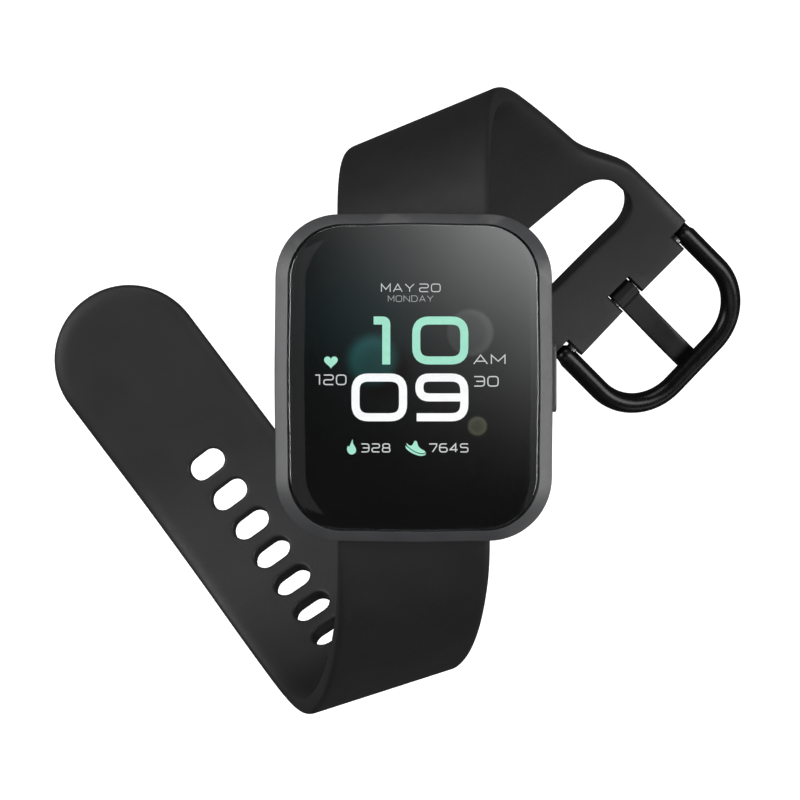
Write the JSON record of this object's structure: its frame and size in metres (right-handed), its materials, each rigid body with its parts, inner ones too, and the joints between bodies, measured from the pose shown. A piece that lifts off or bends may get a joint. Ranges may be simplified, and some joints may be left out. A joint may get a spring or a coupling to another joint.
{
  "type": "smartwatch",
  "caption": "Rectangular smartwatch with a curved glass, a side button and a pin-and-tuck silicone strap that lies open on its tail and buckle.",
  "frame": {"origin": "centre of the sensor window's flat face on the back of the case", "axes": "+Z out of the display, +Y towards 12 o'clock on the display, +X towards 3 o'clock and the button"},
  "size_m": [0.0918, 0.0833, 0.0751],
  "materials": {
    "case_plastic": "fine satin",
    "cover_glass": "polished",
    "seal_rubber": "matt",
    "display": "polished, lit",
    "light_guide": "satin",
    "flex_film": "satin",
    "inner_plastic": "matt",
    "circuit_board": "satin",
    "chip_plastic": "matt",
    "tin_plate": "bright",
    "battery_foil": "satin",
    "bare_steel": "bright",
    "back_plastic": "fine satin",
    "sensor_glass": "polished",
    "lamp_plastic": "polished",
    "gold_plate": "polished",
    "button_plastic": "satin",
    "strap_silicone": "matt moulded",
    "buckle_steel": "gloss black plating"
  },
  "bodies": {
    "case": {"case_body": "case_plastic", "cover_glass": "cover_glass", "glass_gasket": "seal_rubber", "display_panel": "display", "backlight_unit": "light_guide", "display_flex": "flex_film", "mid_frame": "inner_plastic", "main_board": "circuit_board", "board_chips": "chip_plastic", "shield_can": "tin_plate", "antenna": "flex_film", "battery": "battery_foil", "battery_flex": "flex_film", "vibration_motor": "bare_steel", "rear_cover": "back_plastic", "rear_gasket": "seal_rubber", "rear_screws": "bare_steel", "sensor_window": "sensor_glass", "light_barrier": "inner_plastic", "sensor_board": "circuit_board", "sensor_lamps": "lamp_plastic", "sensor_flex": "flex_film", "charging_contacts": "gold_plate", "dock_magnets": "bare_steel", "button_seal": "seal_rubber", "button_switch": "tin_plate"},
    "button": {"side_button": "button_plastic", "button_clip": "bare_steel"},
    "strap_upper": {"upper_strap": "strap_silicone", "upper_bar_tube": "bare_steel", "upper_bar_spring": "bare_steel"},
    "release_upper": {"upper_bar_tip": "bare_steel"},
    "strap_lower": {"lower_strap": "strap_silicone", "lower_bar_tube": "bare_steel", "lower_bar_spring": "bare_steel"},
    "release_lower": {"lower_bar_tip": "bare_steel"},
    "buckle": {"buckle_frame": "buckle_steel", "buckle_bar": "bare_steel"},
    "tongue": {"buckle_tongue": "buckle_steel"}
  },
  "joints": [
    {"name": "button_press", "type": "slide", "parent": "case", "child": "button", "axis": [-1, 0, 0], "range_m": [0, 0.0004], "stiffness_N_per_m": 2500, "springref_m": -0.0003},
    {"name": "upper_strap_hinge", "type": "hinge", "parent": "case", "child": "strap_upper", "pos_m": [0, 0.0188, 0.0036], "axis": [1, 0, 0], "range_deg": [-30, 20]},
    {"name": "lower_strap_hinge", "type": "hinge", "parent": "case", "child": "strap_lower", "pos_m": [0, -0.0188, 0.0036], "axis": [1, 0, 0], "range_deg": [-18, 30]},
    {"name": "buckle_hinge", "type": "hinge", "parent": "strap_upper", "child": "buckle", "pos_m": [0.02813, 0.01126, -0.05526], "axis": [0.6905, 0.7217, -0.0481], "range_deg": [-70, 20]},
    {"name": "tongue_hinge", "type": "hinge", "parent": "buckle", "child": "tongue", "pos_m": [0.02813, 0.01126, -0.05526], "axis": [0.6905, 0.7217, -0.0481], "range_deg": [0, 68]},
    {"name": "upper_bar_release", "type": "slide", "parent": "strap_upper", "child": "release_upper", "axis": [-1, 0, 0], "range_m": [0, 0.0015], "stiffness_N_per_m": 600, "springref_m": -0.0005, "deforming": ["upper_bar_spring"]},
    {"name": "lower_bar_release", "type": "slide", "parent": "strap_lower", "child": "release_lower", "axis": [-1, 0, 0], "range_m": [0, 0.0015], "stiffness_N_per_m": 600, "springref_m": -0.0005, "deforming": ["lower_bar_spring"]}
  ]
}
